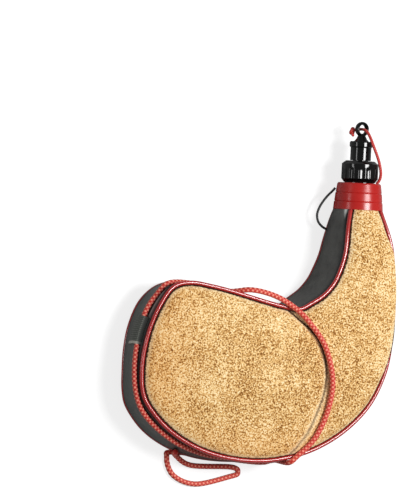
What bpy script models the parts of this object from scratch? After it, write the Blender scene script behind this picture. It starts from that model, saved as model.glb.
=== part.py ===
"""Leather bota bag lying on its back: a flat-sided wine skin with a screw-on filler at its neck.

Metres, +Z up. The origin is the middle of the flat of the back panel, on which the bag rests.
+Y runs from the bulb towards the neck, and +X towards the side that carries the neck.
"""
import math

import bpy
import bmesh
from mathutils import Vector
from mathutils.geometry import intersect_point_line

MM = 0.001

# Body: two leather panels, joined round their rims by a gusset with a bead of piping in each seam.
body_width = 232 * MM          # tip of the bulb to the outer side of the bag
body_length = 215 * MM         # mouth of the collar to the bottom of the bulb
axis_height = 26 * MM          # neck's axis above the floor
front_rise = 21 * MM           # highest front rim above the neck's axis
back_drop = 19 * MM            # back rim of the bulb below the neck's axis
back_spread = 4.5 * MM         # how far the back rim stands out past the front one
leather = 1.6 * MM             # thickness of the panels
gusset_leather = 1.4 * MM
gusset_bulge = 1.5 * MM
piping_diameter = 3.5 * MM
seam_gap = 0.3 * MM            # clearance between sewn pieces
front_shoulder = 4 * MM        # how far the front panel rolls up beside its seam
shoulder_reach = 4 * MM
front_crown = 6 * MM
back_crown = 14 * MM           # fullness of the back panel, which the floor flattens
crown_reach = 75 * MM
liner_inset = 3.4 * MM         # outside of the leather to the outside of the liner
liner_wall = 0.8 * MM
rest_across_share = 0.466      # middle of the flat, from the neck's axis, of body_width
rest_down_share = 0.665        # and from the collar's mouth, of body_length

# Neck of the bag, inside and just below the collar
mouth_radius = 19 * MM         # outside of the leather at the collar's mouth
neck_flare_share = 0.4         # gain of radius for each length below the mouth
neck_blend = 45 * MM           # length over which the round neck turns into the flat-sided body
rim_stand = 0.9 * MM           # centre of the piping outside the leather's radius
clamp_radius = 16 * MM         # outside of the leather under the clamp band
clamp_foot = 9 * MM            # height above the mouth where the leather reaches that radius
leather_top = 17.4 * MM

# Nozzle, heights above the collar's mouth
collar_height = 22.6 * MM
collar_foot_radius = 21.1 * MM
collar_top_radius = 18.5 * MM
collar_bore_radius = 17.4 * MM
collar_mouth_radius = 19.5 * MM
collar_lip_foot = 18 * MM
collar_recess_floor = 19.7 * MM
collar_recess_radius = 17 * MM
collar_edge = 1 * MM
collar_band_share = (0.63, 0.3)   # grooves between the three bands, of collar_height
groove_depth = 0.5 * MM
stem_radius = 12.4 * MM
stem_clearance = 0.5 * MM
stem_top = 33.5 * MM
insert_radius = 11.3 * MM      # the insert's tube inside the liner
insert_bore_radius = 9 * MM
insert_foot = 4 * MM           # below the mouth
insert_flange_radius = 14 * MM
insert_flange = 2.5 * MM
band_wall = 0.8 * MM
band_length = 6.5 * MM
band_foot = 10 * MM
fit_gap = 0.3 * MM             # between pieces that sit on each other
ring_clearance = 0.4 * MM      # between the ring's bore and the stem
ring_radius = 15.5 * MM
ring_top = 41.3 * MM
ring_cap_foot = 37.6 * MM
ring_shoulder = 2.7 * MM
ring_shoulder_in = 3.4 * MM
ring_chamfer = 3.2 * MM
ring_chamfer_in = 2.4 * MM
flute_count = 20
flute_depth = 0.5 * MM
gasket_wall = 1 * MM
spout_flange = 2.2 * MM
spout_flange_radius = 12.2 * MM
spout_radius = 6.5 * MM
spout_top = 51 * MM
spout_bore_radius = 4.6 * MM
spout_bore_top = 46 * MM
jet_radius = 1.2 * MM
spout_clearance = 0.4 * MM
seal_radius = 6.1 * MM
seal_wall = 2 * MM
stopper_radius = 8.8 * MM
stopper_flange_radius = 9.75 * MM
stopper_flange_foot = 52.5 * MM
stopper_top = 57.8 * MM
cone_radius = 6.3 * MM
cone_neck_radius = 3.2 * MM
cone_top = 62.6 * MM
soft_edge = 0.8 * MM
eyelet_height = 68 * MM
eyelet_radius = 6.4 * MM
eyelet_hole_radius = 3.7 * MM
eyelet_depth = 5 * MM
eyelet_turn = math.radians(10)

# Keepers: woven bands sewn across the gusset, with the carrying cord under them
keeper_wall = 1 * MM
keeper_rise = 5.6 * MM         # above the gusset over the cord
keeper_span_count = 3          # rows of faces along it
keeper_shape_shares = (        # place across the gusset, from the back seam, and height, of keeper_rise
    (0.08, 0.06), (0.16, 0.1), (0.42, 0.55), (0.66, 0.96), (0.78, 1), (0.88, 0.9), (0.96, 0.06))
bulb_keeper_shares = (0.4435, 0.4702)   # its ends, as shares of the run of stations
neck_keeper_shares = (0.857, 0.881)
neck_keeper_reach_share = 0.5           # how far across the gusset it goes, where the bulb's keeper has 1

# Cords
cord_diameter = 4.5 * MM
cord_knot_diameter = 10 * MM
anchor_seat = 0.3 * MM         # leather patch that holds the cord's end, above the gusset
anchor_rise = 5.2 * MM         # and its thickness
anchor_station_count = 50      # stations before it
anchor_shares = (0.15, 0.75)   # along the span from that station
anchor_height_shares = (0.22, 0.42)
tether_diameter = 2.5 * MM
tether_knot_diameter = 5.4 * MM
tether_knot_tall_share = 1.6
hang_loop_diameter = 2 * MM
cord_step_share = 3.3          # point spacing of a cord's tube, in diameters
cord_turn = math.radians(36)   # and the most it turns from one point to the next, about
cord_fine_count = 12           # steps of the smooth curve between two of the route's points
cord_knot_place = (139.9, 111, 20.2)
tether_knot_place = (101.5, 208.5, 21.2)

# Routes of the cords' centre lines, in millimetres. The carrying cord starts at its knot below the neck, runs
# down the outer gusset and round the bulb, goes up under the keeper there, crosses the concave corner onto the
# front panel, drops over the lower rim to the floor, runs along under the back rim, comes out in one slack
# bight and ends at the patch on the gusset.
carrying_route = [
    (137.5, 105.6, 22.8), (139.1, 88.3, 23.1), (140.7, 48.8, 26.3), (135.1, 3, 27), (116, -29.4, 26.4), (65.2, -61.3, 25.9),
    (-0.1, -71.2, 26), (-50.2, -62.9, 34.6), (-83.8, -42.1, 35.4), (-97, -20.4, 35.8), (-98.8, 10.9, 34.3), (-91.5, 45.4, 32.4),
    (-79.3, 65, 32.5), (-69.5, 73.3, 32.9), (-46.4, 73.6, 30.4), (-16.9, 68.6, 34.3), (1, 70.9, 45.9), (21.1, 67.1, 49.3),
    (38.6, 58.8, 50.7), (51.9, 46.9, 54.9), (67.2, 26.4, 58.2), (75.8, -1.5, 58.4), (73.8, -27, 56.4), (64.4, -51.2, 53.3),
    (50.5, -67.3, 48.8), (45.3, -72.7, 44.2), (44.5, -71.4, 22.6), (45.1, -72.1, 12.2), (32.4, -74, 3.2), (-39.3, -68.8, 2.5),
    (-48.4, -73.8, 2.4), (-41.3, -88.5, 2.4), (-19.9, -94.9, 2.4), (11.9, -87.4, 2.4), (19.3, -84.1, 2.4), (13.3, -79.3, 2.4),
    (-25.1, -79.3, 2.8), (-42.3, -71.6, 7.1), (-47.1, -68.4, 15.6),
]
tether_upper_route = [
    (104.6, 209.8, 20.5), (106.1, 210.5, 21.4), (107.4, 210.9, 23.2), (108.1, 211, 25.8), (108.6, 210.8, 28.4),
    (109.4, 209.8, 31), (110.3, 207.6, 33.6), (111.2, 204.2, 36), (112.6, 199.6, 37.8), (114.6, 194.4, 38.8),
    (117.2, 188.7, 39.1), (119.2, 183.9, 39),
]
tether_lower_route = [
    (119.3, 183.5, 39), (120.6, 179, 39), (121.6, 174.5, 38.5), (121.8, 170.4, 37.4), (121, 167.6, 36.3),
    (119.8, 165.5, 35.3),
]
hang_loop_route = [
    (90.3, 160.5, 16.9), (88.3, 157.6, 15.7), (84.9, 153.9, 14.8), (81.6, 149.5, 14), (78.3, 143.7, 13.2),
    (76.5, 137.4, 12.8), (77.8, 131.5, 12.7), (81.6, 127.3, 13.1), (86.5, 124.6, 14.2),
]

# Rows across the body from the collar to the bulb: inner rim across and down, outer rim across and down,
# height of the front rim, depth of the back rim, how much of back_spread the inner and outer rims have, and
# how much of gusset_bulge the gusset has at each, which is below zero where it folds in behind the cord.
# Across is a share of body_width from the neck's axis, and down a share of body_length from the mouth.
rim_row_shares = [
    (-0.064, 0.043, 0.080, 0.035, 0.71, 0.76, 0.1, 0.0, 1.0, 1.0),
    (-0.070, 0.086, 0.092, 0.082, 0.80, 0.82, 0.3, 0.0, 1.0, 1.0),
    (-0.077, 0.133, 0.101, 0.132, 0.88, 0.86, 0.7, 0.0, 1.0, 1.0),
    (-0.088, 0.184, 0.109, 0.190, 0.94, 0.89, 0.9, 0.0, 1.0, 1.0),
    (-0.105, 0.240, 0.116, 0.256, 0.98, 0.94, 1.0, 0.0, 1.0, 1.0),
    (-0.129, 0.294, 0.120, 0.330, 1.00, 0.97, 1.0, 0.0, 1.0, 1.0),
    (-0.167, 0.341, 0.121, 0.416, 1.00, 0.99, 0.9, 0.0, 1.0, 1.0),
    (-0.216, 0.376, 0.117, 0.514, 1.00, 1.00, 0.7, 0.0, 1.0, 1.0),
    (-0.264, 0.401, 0.097, 0.640, 0.98, 1.00, 0.3, 0.0, 1.0, 1.0),
    (-0.326, 0.395, 0.040, 0.768, 0.95, 1.00, 0.0, 0.0, 0.3, 0.3),
    (-0.391, 0.381, -0.059, 0.875, 0.92, 1.00, 0.0, 0.0, -1.0, -1.5),
    (-0.463, 0.363, -0.183, 0.952, 0.89, 1.00, 0.0, 0.0, -2.0, -3.0),
    (-0.540, 0.344, -0.318, 0.993, 0.86, 1.00, 0.0, 0.0, -3.0, -3.3),
    (-0.622, 0.328, -0.443, 1.002, 0.84, 1.00, 0.0, 0.2, -3.0, -3.3),
    (-0.703, 0.319, -0.569, 0.985, 0.82, 1.00, -0.3, 0.6, -2.0, -2.5),
    (-0.772, 0.340, -0.680, 0.945, 0.80, 1.00, -0.4, 0.9, -0.5, -1.0),
    (-0.820, 0.411, -0.772, 0.886, 0.78, 1.00, 0.4, 1.0, 0.5, 0.5),
    (-0.855, 0.503, -0.842, 0.811, 0.75, 1.00, 0.45, 0.7, 1.0, 1.0),
    (-0.873, 0.594, -0.870, 0.752, 0.72, 1.00, 0.2, 0.2, 1.0, 1.0),
]
tip_shares = (-0.878, 0.674, 0.71, 1.0, 0.0, 1.0)
panel_shares = (0, 0.02, 0.07, 0.2, 0.4, 0.6, 0.8, 0.93, 0.98, 1)
liner_shares = (0, 0.08, 0.25, 0.5, 0.75, 0.92, 1)
gusset_shares = (0, 0.25, 0.5, 0.75, 1)
liner_side_shares = (0.25, 0.5, 0.75)

axis_x = body_width * rest_across_share
mouth_y = body_length * rest_down_share
corner = math.radians(45)
seam_edge = piping_diameter / 2 + seam_gap
round_steps = 32

PARTS = None
CUTTERS = None


def mix(a, b, share):
    """Value or vector between a and b."""
    return a + (b - a) * share


def curve_through(points, steps):
    """Points read from a smooth curve through the given ones, steps to a span."""
    run = []
    last = len(points) - 1
    for i in range(last):
        a, b, c, d = (points[max(i - 1, 0)], points[i], points[i + 1], points[min(i + 2, last)])
        for step in range(steps):
            t = step / steps
            run.append(tuple(
                0.5 * (2 * q + (r - p) * t + (2 * p - 5 * q + 4 * r - s) * t ** 2
                       + (3 * q - p - 3 * r + s) * t ** 3)
                for p, q, r, s in zip(a, b, c, d)))
    run.append(tuple(points[-1]))
    return run


def leather_radius(y):
    """Outside of the round neck's leather at a place along the axis."""
    above = y - mouth_y
    if above >= clamp_foot:
        return clamp_radius
    if above > 0:
        return mix(mouth_radius, clamp_radius, above / clamp_foot)
    return mouth_radius - neck_flare_share * above


def neck_share(y):
    """1 where the body is a round neck, falling to 0 where it is flat-sided."""
    t = min(max((mouth_y - y) / neck_blend, 0), 1)
    return 1 - t * t * (3 - 2 * t)


def rim_stations():
    """Stations round the rim, from the neck's inner side by the bulb's tip to its outer side.

    Each holds the front rim's and the back rim's point, both as they would be without the round neck,
    the outward normal in plan, and the neck share.
    """
    inner, outer = [], []
    for xi, yi, xo, yo, front, back, spread_in, spread_out, bulge_in, bulge_out in rim_row_shares:
        heights = (axis_height + front * front_rise, axis_height - back * back_drop)
        inner.append((xi * body_width, mouth_y - yi * body_length) + heights
                     + (spread_in * back_spread, bulge_in * gusset_bulge))
        outer.append((xo * body_width, mouth_y - yo * body_length) + heights
                     + (spread_out * back_spread, bulge_out * gusset_bulge))
    corner_out = (mouth_radius + rim_stand) * math.sin(corner)
    mouth_heights = (axis_height + corner_out, axis_height - corner_out, 0, gusset_bulge)
    inner.insert(0, (-corner_out, mouth_y) + mouth_heights)
    outer.insert(0, (corner_out, mouth_y) + mouth_heights)
    x, y, front, back, spread, bulge = tip_shares
    tip = (x * body_width, mouth_y - y * body_length, axis_height + front * front_rise,
           axis_height - back * back_drop, spread * back_spread, bulge * gusset_bulge)
    run = curve_through(inner + [tip] + outer[::-1], 2)
    inside = [mouth_y + leather_top, mouth_y + clamp_foot]
    run = [(run[0][0], y) + run[0][2:] for y in inside] + run + [(run[-1][0], y) + run[-1][2:] for y in inside[::-1]]
    stations = []
    middle = len(run) // 2
    for i, (x, y, front, back, spread, bulge) in enumerate(run):
        before, after = run[max(i - 1, 0)], run[min(i + 1, len(run) - 1)]
        along = Vector((after[0] - before[0], after[1] - before[1])).normalized()
        out = Vector((along.y, -along.x, 0))
        share = neck_share(y)
        side = -1 if i < middle else 1
        reach = (leather_radius(y) + rim_stand) * math.sin(corner)
        round_front = Vector((axis_x + side * reach, y, axis_height + reach))
        round_back = Vector((axis_x + side * reach, y, axis_height - reach))
        flat_front = Vector((axis_x + x, y, front))
        flat_back = Vector((axis_x + x, y, back)) + out * spread
        stations.append({
            "flat_front": flat_front, "front": mix(flat_front, round_front, share),
            "flat_back": flat_back, "back": mix(flat_back, round_back, share),
            "out": out, "bulge": bulge, "neck": share, "side": side, "y": y,
        })
    return stations


stations = rim_stations()
last = len(stations) - 1
middle = last // 2
mouth_station = 2


def rim_reach(face, point):
    """Distance in plan from a point of a panel to that panel's rim."""
    best = None
    for one, two in zip(stations, stations[1:]):
        a, b = one["flat_" + face].to_2d(), two["flat_" + face].to_2d()
        near, t = intersect_point_line(point.to_2d(), a, b)
        near = a if t < 0 else b if t > 1 else near
        gap = (point.to_2d() - near).length
        best = gap if best is None else min(best, gap)
    return best


def panel_point(face, i, share, inset=0.0):
    """A point of the front or back panel's outside, on the row between stations i and last - i."""
    edge = seam_edge + inset
    one, two = stations[i], stations[last - i]
    start = one["flat_" + face] - one["out"] * edge
    end = two["flat_" + face] - two["out"] * edge
    point = mix(start, end, share)
    gap = max(rim_reach(face, point) - seam_edge, 0)
    fullness = 1 - (1 - min(gap / crown_reach, 1)) ** 2
    if face == "front":
        rise = front_shoulder * (1 - math.exp(-gap / shoulder_reach)) + front_crown * fullness
        point.z += leather / 2 + rise - inset
        up = 1
    else:
        point.z = max(point.z - leather / 2 - back_crown * fullness, 0) + inset
        up = -1
    radius = leather_radius(one["y"]) - inset
    angle = (2 * share - 1) * (corner - (0 if inset > 0 else edge / radius))
    y = mix(one["y"], two["y"], share)
    circle = Vector((axis_x + radius * math.sin(angle), y, axis_height + up * radius * math.cos(angle)))
    return mix(point, circle, mix(one["neck"], two["neck"], share))


def gusset_point(i, share, inset=0.0):
    """A point of the gusset's outside at station i, from the back seam at 0 to the front seam at 1."""
    station = stations[i]
    edge = seam_edge + max(inset, 0)
    low = station["flat_back"] + Vector((0, 0, edge))
    high = station["flat_front"] - Vector((0, 0, edge))
    swell = station["bulge"] * 4 * share * (1 - share) - inset
    point = mix(low, high, share) + station["out"] * swell
    radius = leather_radius(station["y"]) - inset
    angle = (2 * share - 1) * (corner - (0 if inset > 0 else edge / radius))
    circle = Vector((axis_x + station["side"] * radius * math.cos(angle), station["y"],
                     axis_height + radius * math.sin(angle)))
    return mix(point, circle, station["neck"])


def material(name, colour, roughness, metallic=0.0):
    """A plain material of the piece's own."""
    made = bpy.data.materials.new(name)
    made.use_nodes = True
    shader = made.node_tree.nodes["Principled BSDF"]
    shader.inputs["Base Color"].default_value = (*colour, 1)
    shader.inputs["Roughness"].default_value = roughness
    shader.inputs["Metallic"].default_value = metallic
    made.diffuse_color = (*colour, 1)
    return made


SUEDE = (0.66, 0.45, 0.2)
GREY_LEATHER = (0.045, 0.045, 0.045)
RED_PLASTIC = (0.45, 0.015, 0.015)
BLACK_PLASTIC = (0.012, 0.012, 0.012)
RED_CORD = (0.42, 0.02, 0.02)
RUBBER = (0.03, 0.03, 0.03)
LATEX = (0.62, 0.5, 0.33)
STEEL = (0.55, 0.55, 0.56)
GREY_WEBBING = (0.09, 0.1, 0.1)


def add_object(name, data, colour, roughness, metallic=0.0):
    """Puts mesh or curve data in the bag's collection under the piece's name, with its own material."""
    piece = bpy.data.objects.new(name, data)
    PARTS.objects.link(piece)
    data.materials.append(material(name, colour, roughness, metallic))
    return piece


def sheet_mesh(name, rows, closing=None):
    """An open surface from rows of points, with the tip point joined to the last row."""
    bm = bmesh.new()
    grid = [[bm.verts.new(point) for point in row] for row in rows]
    for one, two in zip(grid, grid[1:]):
        for k in range(len(one) - 1):
            bm.faces.new((one[k], two[k], two[k + 1], one[k + 1]))
    if closing is not None:
        tip = bm.verts.new(closing)
        for a, b in zip(grid[-1], grid[-1][1:]):
            bm.faces.new((a, tip, b))
    mesh = bpy.data.meshes.new(name)
    bm.to_mesh(mesh)
    bm.free()
    mesh.shade_smooth()
    return mesh


def solidify(piece, thickness, offset=-1.0):
    """Gives an open surface its thickness, inwards unless told otherwise."""
    wall = piece.modifiers.new("wall", "SOLIDIFY")
    wall.thickness = thickness
    wall.offset = offset


def panel(name, face):
    """One suede face of the bag, crowned between its seams."""
    rows = [[panel_point(face, i, share) for share in panel_shares] for i in range(middle)]
    tip = stations[middle]
    closing = tip[face] - tip["out"] * seam_edge
    closing.z += leather / 2 if face == "front" else -leather / 2
    if face == "back":
        rows = [row[::-1] for row in rows]
    piece = add_object(name, sheet_mesh(name, rows, closing), SUEDE, 0.9)
    solidify(piece, leather)
    return piece


def gusset():
    """The side band, sewn between the two panels from the neck round the bulb and back."""
    rows = [[gusset_point(i, share) for share in gusset_shares] for i in range(last + 1)]
    piece = add_object("gusset", sheet_mesh("gusset", rows), GREY_LEATHER, 0.5)
    solidify(piece, gusset_leather)
    return piece


def liner():
    """The bladder inside the leather: one bag, open at the neck."""
    loops = []
    for i in list(range(mouth_station + 2)) + list(range(mouth_station + 2, middle - 1, 2))[1:]:
        front = [panel_point("front", i, share, liner_inset) for share in liner_shares]
        outer = [gusset_point(last - i, share, liner_inset) for share in liner_side_shares[::-1]]
        back = [panel_point("back", i, share, liner_inset) for share in liner_shares[::-1]]
        inner = [gusset_point(i, share, liner_inset) for share in liner_side_shares]
        loops.append(front + outer + back + inner)
    bm = bmesh.new()
    rings = [[bm.verts.new(point) for point in loop] for loop in loops]
    for one, two in zip(rings, rings[1:]):
        for k, start in enumerate(one):
            nxt = (k + 1) % len(one)
            bm.faces.new((start, two[k], two[nxt], one[nxt]))
    bm.faces.new(rings[-1][::-1])
    mesh = bpy.data.meshes.new("liner")
    bm.to_mesh(mesh)
    bm.free()
    mesh.shade_smooth()
    piece = add_object("liner", mesh, LATEX, 0.5)
    solidify(piece, liner_wall)
    return piece


def cord_points(route, diameter):
    """Points of a cord's tube in metres, read from a smooth curve through its route."""
    fine = cord_fine_count
    curve = curve_through(route, fine)
    run = []
    for k in range(len(route) - 1):
        span = curve[fine * k:fine * k + fine + 1]
        length = sum(math.dist(a, b) for a, b in zip(span, span[1:])) * MM
        start = Vector(span[1]) - Vector(span[0])
        turn = start.angle(Vector(span[-1]) - Vector(span[-2]))
        pieces = max(round(length / (cord_step_share * diameter)), round(turn / cord_turn), 1)
        run += [span[round(fine * i / pieces)] for i in range(pieces)]
    return [Vector(point) * MM for point in run + [route[-1]]]


def tube(name, points, diameter, colour, roughness, closed=False, resolution=2):
    """A tube along points, with its ends capped."""
    curve = bpy.data.curves.new(name, "CURVE")
    curve.dimensions = "3D"
    curve.bevel_depth = diameter / 2
    curve.bevel_resolution = resolution
    curve.use_fill_caps = True
    spline = curve.splines.new("POLY")
    spline.points.add(len(points) - 1)
    for target, point in zip(spline.points, points):
        target.co = (*point, 1)
    spline.use_cyclic_u = closed
    spline.use_smooth = True
    return add_object(name, curve, colour, roughness)


def piping(name, face):
    """The moulded bead in a seam, from the collar's foot round the bag and back to the collar."""
    points = [stations[i][face].copy() for i in range(mouth_station, last - mouth_station + 1)]
    for end, beside in ((0, 1), (-1, -2)):
        along = (points[beside] - points[end]).normalized()
        tilt = math.hypot(along.x, along.z)
        points[end] += along * (fit_gap + tilt * piping_diameter / 2)
    return tube(name, points, piping_diameter, RED_PLASTIC, 0.25)


def turned(name, profile, colour, roughness, steps=round_steps, metallic=0.0):
    """A piece turned about the nozzle's axis, from a profile of radii and heights above the mouth."""
    bm = bmesh.new()
    points = [bm.verts.new((radius, 0, height)) for radius, height in profile]
    for a, b in zip(points, points[1:]):
        bm.edges.new((a, b))
    if profile[0][0] > 0:
        bm.edges.new((points[-1], points[0]))
    mesh = bpy.data.meshes.new(name)
    bm.to_mesh(mesh)
    bm.free()
    piece = add_object(name, mesh, colour, roughness, metallic)
    piece.location = (axis_x, mouth_y, axis_height)
    piece.rotation_euler = (-math.pi / 2, 0, 0)
    screw = piece.modifiers.new("turn", "SCREW")
    screw.steps = screw.render_steps = steps
    screw.use_merge_vertices = True
    screw.merge_threshold = 0.1 * MM
    screw.use_smooth_shade = True
    return piece


def collar():
    """The moulded sleeve over the bound neck, in three bands with a groove between each two."""
    taper = (collar_top_radius - collar_foot_radius) / collar_height
    outer = [(collar_top_radius - collar_edge, collar_height), (collar_top_radius, collar_height - collar_edge)]
    for share in collar_band_share:
        height = collar_height * share
        radius = collar_foot_radius + taper * height
        outer += [(radius, height + groove_depth), (radius - groove_depth, height),
                  (radius + groove_depth / 2, height - groove_depth)]
    outer.append((collar_foot_radius, 0))
    inner = [(collar_mouth_radius, 0), (collar_bore_radius, clamp_foot), (collar_bore_radius, collar_lip_foot),
             (stem_radius + stem_clearance, collar_lip_foot), (stem_radius + stem_clearance, collar_recess_floor),
             (collar_recess_radius, collar_recess_floor), (collar_recess_radius, collar_height)]
    return turned("collar", outer + inner, RED_PLASTIC, 0.2)


def neck_band():
    """The metal band that clamps leather and liner onto the insert."""
    low, high = band_foot, band_foot + band_length
    inner = clamp_radius + fit_gap
    outer = inner + band_wall
    return turned("neck_band", [(outer, high), (outer, low), (inner, low), (inner, high)], STEEL, 0.4, metallic=1.0)


def neck_insert():
    """The rigid tube in the neck: a flange and barrel inside the liner, a threaded stem above the collar."""
    step = collar_lip_foot - fit_gap
    profile = [(stem_radius - soft_edge, stem_top), (stem_radius, stem_top - soft_edge), (stem_radius, step),
               (insert_radius, step), (insert_radius, insert_flange - insert_foot),
               (insert_flange_radius, insert_flange - insert_foot), (insert_flange_radius, -insert_foot),
               (insert_bore_radius, -insert_foot), (insert_bore_radius, stem_top)]
    return turned("neck_insert", profile, BLACK_PLASTIC, 0.35)


def gasket():
    """The flat washer on top of the stem, which the ring presses the spout against."""
    low = stem_top + fit_gap
    high = low + gasket_wall
    outer = stem_radius - soft_edge
    inner = insert_bore_radius + soft_edge
    return turned("ring_gasket", [(outer, high), (outer, low), (inner, low), (inner, high)], RUBBER, 0.7)


def filler_ring():
    """The knurled ring that screws onto the stem. Its flutes are columns of the wall drawn inwards."""
    bore = stem_radius + ring_clearance
    low = collar_height + ring_clearance
    hole = spout_radius + spout_clearance
    profile = [(ring_radius - ring_shoulder_in, ring_top), (ring_radius, ring_top - ring_shoulder),
               (ring_radius, low + ring_chamfer), (ring_radius - ring_chamfer_in, low),
               (bore, low), (bore, ring_cap_foot), (hole, ring_cap_foot), (hole, ring_top)]
    piece = turned("filler_ring", profile, BLACK_PLASTIC, 0.2, steps=2 * flute_count)
    mesh = bpy.data.meshes.new_from_object(
        piece.evaluated_get(bpy.context.evaluated_depsgraph_get()))
    piece.modifiers.clear()
    piece.data = mesh
    for vertex in mesh.vertices:
        radius = vertex.co.to_2d().length
        column = round(math.atan2(vertex.co.y, vertex.co.x) / (math.pi / flute_count))
        if radius > ring_radius - soft_edge / 2 and column % 2:
            vertex.co.xy *= (radius - flute_depth) / radius
    return piece


def spout():
    """The pouring tube: a flange under the ring's cap, a bore, and the small hole that makes the jet."""
    top = ring_cap_foot - fit_gap
    profile = [(spout_radius - soft_edge, spout_top), (spout_radius, spout_top - soft_edge), (spout_radius, top),
               (spout_flange_radius, top), (spout_flange_radius, top - spout_flange),
               (spout_bore_radius, top - spout_flange), (spout_bore_radius, spout_bore_top),
               (jet_radius, spout_bore_top + soft_edge), (jet_radius, spout_top)]
    return turned("spout", profile, BLACK_PLASTIC, 0.3, steps=24)


def stopper_seal():
    """The disc in the stopper that closes the jet hole."""
    low = spout_top + spout_clearance
    high = low + seal_wall
    return turned("stopper_seal", [(0, high), (seal_radius, high), (seal_radius, low), (0, low)], RUBBER, 0.7, steps=24)


def place_on_eyelet(piece):
    """Stands a piece turned about Z on the stopper's head, facing up from the bag and a little outwards."""
    piece.location = (axis_x, mouth_y + eyelet_height, axis_height)
    piece.rotation_euler = (0, eyelet_turn, 0)


def stopper():
    """The screw cap of the spout, with an eyelet on its cone for the tether."""
    inner = spout_radius + spout_clearance
    low = ring_top + fit_gap
    ceiling = spout_top + seal_wall + 2 * spout_clearance
    profile = [(0, cone_top + eyelet_radius - eyelet_hole_radius), (cone_neck_radius / 2, cone_top + soft_edge),
               (cone_neck_radius, cone_top), (cone_radius, stopper_top),
               (stopper_flange_radius - soft_edge, stopper_top),
               (stopper_flange_radius, stopper_top - soft_edge), (stopper_flange_radius, stopper_flange_foot + soft_edge),
               (stopper_radius, stopper_flange_foot), (stopper_radius, low),
               (inner, low), (inner, ceiling), (0, ceiling)]
    piece = turned("stopper", profile, BLACK_PLASTIC, 0.15, steps=28)
    half = eyelet_depth / 2
    eyelet = turned("eyelet_shape", [
        (eyelet_radius, half - soft_edge), (eyelet_radius, soft_edge - half), (eyelet_radius - soft_edge / 2, -half),
        (eyelet_hole_radius, -half), (eyelet_hole_radius, half), (eyelet_radius - soft_edge / 2, half)],
        BLACK_PLASTIC, 0.15, steps=28)
    place_on_eyelet(eyelet)
    PARTS.objects.unlink(eyelet)
    CUTTERS.objects.link(eyelet)
    eyelet.hide_render = True
    eyelet.display_type = "WIRE"
    joined = piece.modifiers.new("eyelet", "BOOLEAN")
    joined.operation = "UNION"
    joined.object = eyelet
    return piece


def gusset_between(place, share, inset=0.0):
    """A point of the gusset's outside at a place between two stations."""
    i = int(place)
    return mix(gusset_point(i, share, inset), gusset_point(i + 1, share, inset), place - i)


def keeper(name, end_shares, reach_share):
    """A woven band sewn across the gusset, stretched over the cord."""
    rows = []
    for k in range(keeper_span_count + 1):
        place = last * mix(*end_shares, k / keeper_span_count)
        rows.append([gusset_between(place, across * reach_share, -high * keeper_rise)
                     for across, high in keeper_shape_shares])
    piece = add_object(name, sheet_mesh(name, rows), GREY_WEBBING, 0.9)
    solidify(piece, keeper_wall, offset=1.0)
    return piece


def cord_anchor():
    """The leather patch on the gusset in which the carrying cord's end is sewn."""
    rows = []
    for share in anchor_shares:
        rows.append([gusset_between(anchor_station_count + share, height, -anchor_seat)
                     for height in anchor_height_shares])
    piece = add_object("cord_anchor", sheet_mesh("cord_anchor", rows), GREY_LEATHER, 0.5)
    solidify(piece, anchor_rise, offset=1.0)
    return piece


def knot(name, diameter, tall_share, place):
    """A knot that keeps a cord from slipping through, as a ball drawn out along the neck."""
    bm = bmesh.new()
    bmesh.ops.create_uvsphere(bm, u_segments=12, v_segments=8, radius=diameter / 2)
    bmesh.ops.scale(bm, vec=(1, tall_share, 1), verts=bm.verts)
    mesh = bpy.data.meshes.new(name)
    bm.to_mesh(mesh)
    bm.free()
    mesh.shade_smooth()
    piece = add_object(name, mesh, RED_CORD, 0.8)
    piece.location = Vector(place) * MM
    return piece


def tether_collar_loop():
    """The tether's lower end, looped round the stem in the collar's recess."""
    radius = tether_diameter / 2
    centre = stem_radius + fit_gap + radius
    height = collar_recess_floor + fit_gap + radius
    profile = [(centre + radius * math.sin(angle), height + radius * math.cos(angle))
               for angle in (math.pi * k / 4 for k in range(8))]
    return turned("tether_collar_loop", profile, RED_CORD, 0.7, steps=24)


def start_scene():
    """Clears the scene and makes the two collections."""
    global PARTS, CUTTERS
    for old in list(bpy.data.objects):
        bpy.data.objects.remove(old, do_unlink=True)
    PARTS = bpy.data.collections.new("bota_bag")
    CUTTERS = bpy.data.collections.new("cutters")
    bpy.context.scene.collection.children.link(PARTS)
    bpy.context.scene.collection.children.link(CUTTERS)


def main():
    start_scene()
    panel("front_panel", "front")
    panel("back_panel", "back")
    gusset()
    liner()
    piping("front_piping", "front")
    piping("back_piping", "back")
    neck_band()
    neck_insert()
    collar()
    gasket()
    filler_ring()
    spout()
    stopper_seal()
    stopper()
    keeper("bulb_keeper", bulb_keeper_shares, 1)
    keeper("neck_keeper", neck_keeper_shares, neck_keeper_reach_share)
    cord_anchor()
    knot("carrying_knot", cord_knot_diameter, 1, cord_knot_place)
    tube("carrying_cord", cord_points(carrying_route, cord_diameter), cord_diameter, RED_CORD, 0.8)
    knot("tether_knot", tether_knot_diameter, tether_knot_tall_share, tether_knot_place)
    tube("tether_upper", cord_points(tether_upper_route, tether_diameter), tether_diameter, RED_CORD, 0.7)
    tube("tether_lower", cord_points(tether_lower_route, tether_diameter), tether_diameter, RED_CORD, 0.7)
    tether_collar_loop()
    tube("hang_loop", cord_points(hang_loop_route, hang_loop_diameter), hang_loop_diameter, BLACK_PLASTIC, 0.6)


main()
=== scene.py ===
"""Leather bota bag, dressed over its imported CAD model: a filled suede wine skin lying on its back."""
import math

import bpy
from mathutils import Matrix, Vector, noise
from mathutils.kdtree import KDTree


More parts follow.
